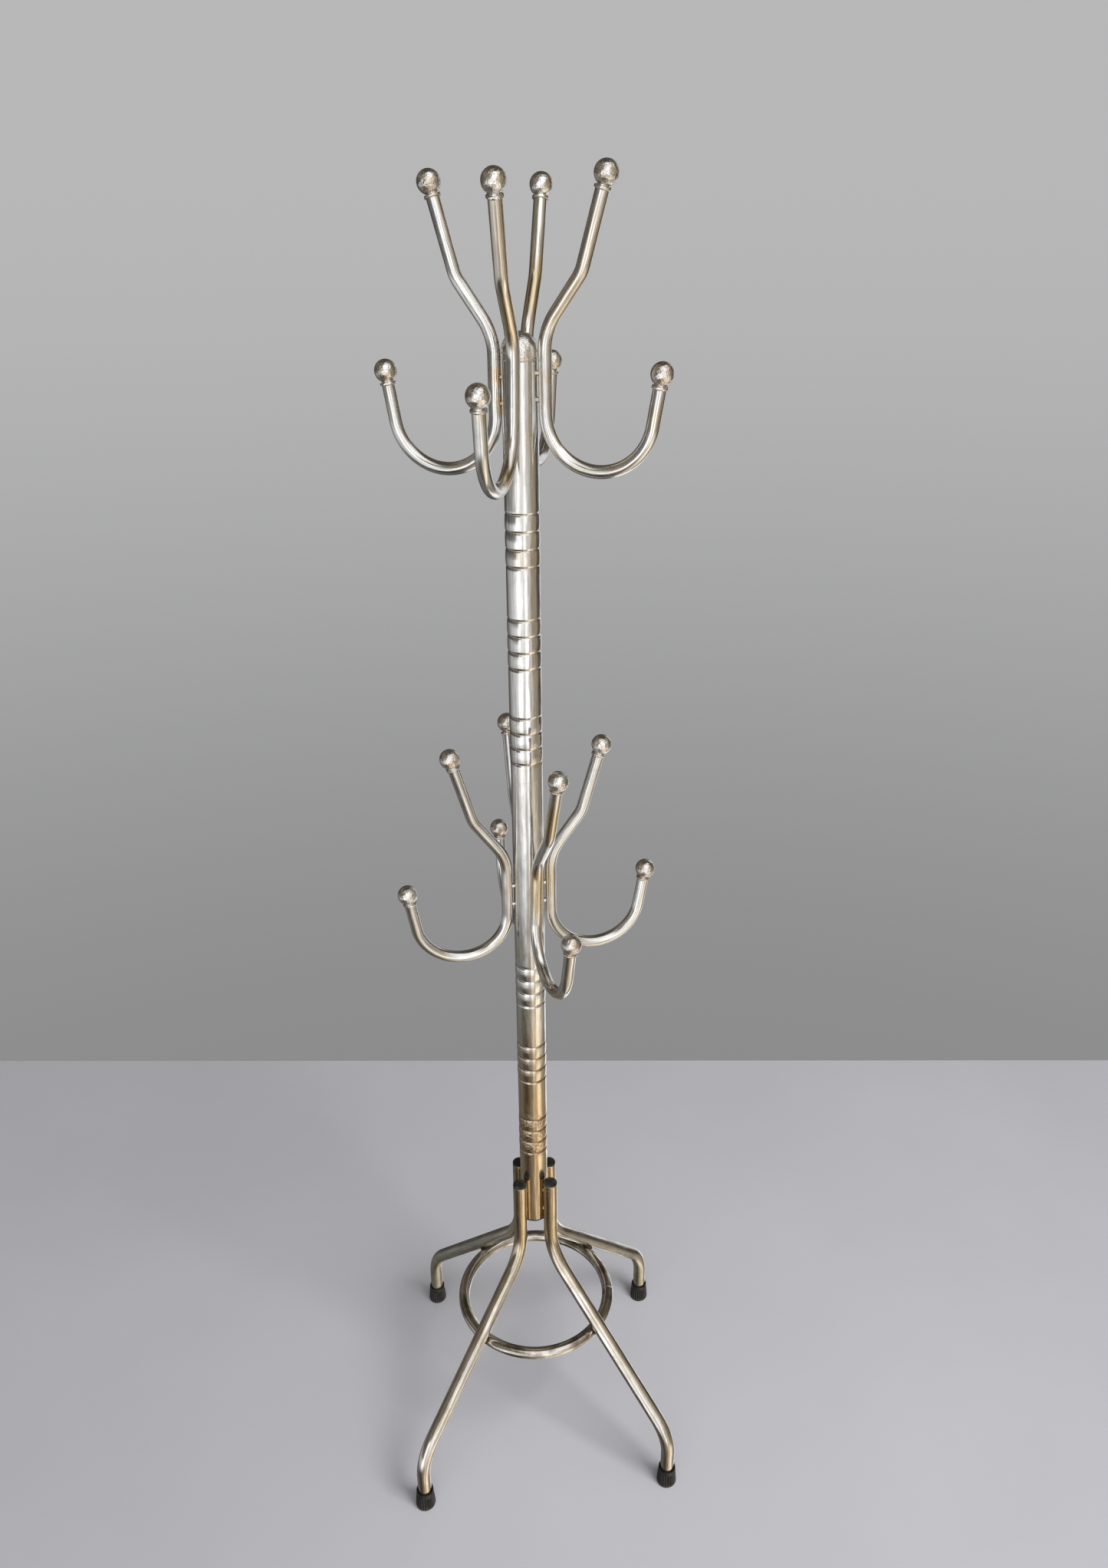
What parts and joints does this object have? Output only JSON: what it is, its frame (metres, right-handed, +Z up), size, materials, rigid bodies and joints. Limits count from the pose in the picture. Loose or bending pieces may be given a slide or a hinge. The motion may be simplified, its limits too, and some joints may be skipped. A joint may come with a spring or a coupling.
{
  "type": "standing coat rack",
  "caption": "Free-standing coat rack: a grooved round post with two tiers of bent-tube hooks ending in balls, on splayed bent legs tied by a ring, with rubber feet.",
  "frame": {"origin": "on the floor, on the axis of the post", "axes": "+Z up along the post; +X and +Y lie on the floor"},
  "size_m": [0.3808, 0.3856, 1.709],
  "materials": {
    "post_chrome": "aged bright chrome plate with fine scratches and a warm tint",
    "hook_chrome": "aged bright chrome plate, brown stains round the studs of one hook",
    "ball_chrome": "chrome plate with dull patches and pits",
    "leg_chrome": "yellowed chrome plate, duller than the hooks",
    "stud_steel": "turned steel",
    "weld_steel": "dark brazed steel",
    "plug_plastic": "black moulded plastic",
    "foot_rubber": "black rubber with upright ribs"
  },
  "bodies": {
    "root": {"post": "post_chrome", "post_cap": "post_chrome", "upper_hook_1": "hook_chrome", "upper_hook_2": "hook_chrome", "upper_hook_3": "hook_chrome", "upper_hook_4": "hook_chrome", "lower_hook_1": "hook_chrome", "lower_hook_2": "hook_chrome", "lower_hook_3": "hook_chrome", "lower_hook_4": "hook_chrome", "upper_arm_ball_1": "ball_chrome", "upper_arm_ball_2": "ball_chrome", "upper_arm_ball_3": "ball_chrome", "upper_arm_ball_4": "ball_chrome", "upper_curl_ball_1": "ball_chrome", "upper_curl_ball_2": "ball_chrome", "upper_curl_ball_3": "ball_chrome", "upper_curl_ball_4": "ball_chrome", "lower_arm_ball_1": "ball_chrome", "lower_arm_ball_2": "ball_chrome", "lower_arm_ball_3": "ball_chrome", "lower_arm_ball_4": "ball_chrome", "lower_curl_ball_1": "ball_chrome", "lower_curl_ball_2": "ball_chrome", "lower_curl_ball_3": "ball_chrome", "lower_curl_ball_4": "ball_chrome", "upper_hook_studs": "stud_steel", "lower_hook_studs": "stud_steel", "leg_studs": "stud_steel", "leg_1": "leg_chrome", "leg_2": "leg_chrome", "leg_3": "leg_chrome", "leg_4": "leg_chrome", "base_ring": "leg_chrome", "ring_welds": "weld_steel", "post_plug": "plug_plastic", "leg_plug_1": "plug_plastic", "leg_plug_2": "plug_plastic", "leg_plug_3": "plug_plastic", "leg_plug_4": "plug_plastic", "foot_1": "foot_rubber", "foot_2": "foot_rubber", "foot_3": "foot_rubber", "foot_4": "foot_rubber"}
  },
  "joints": []
}
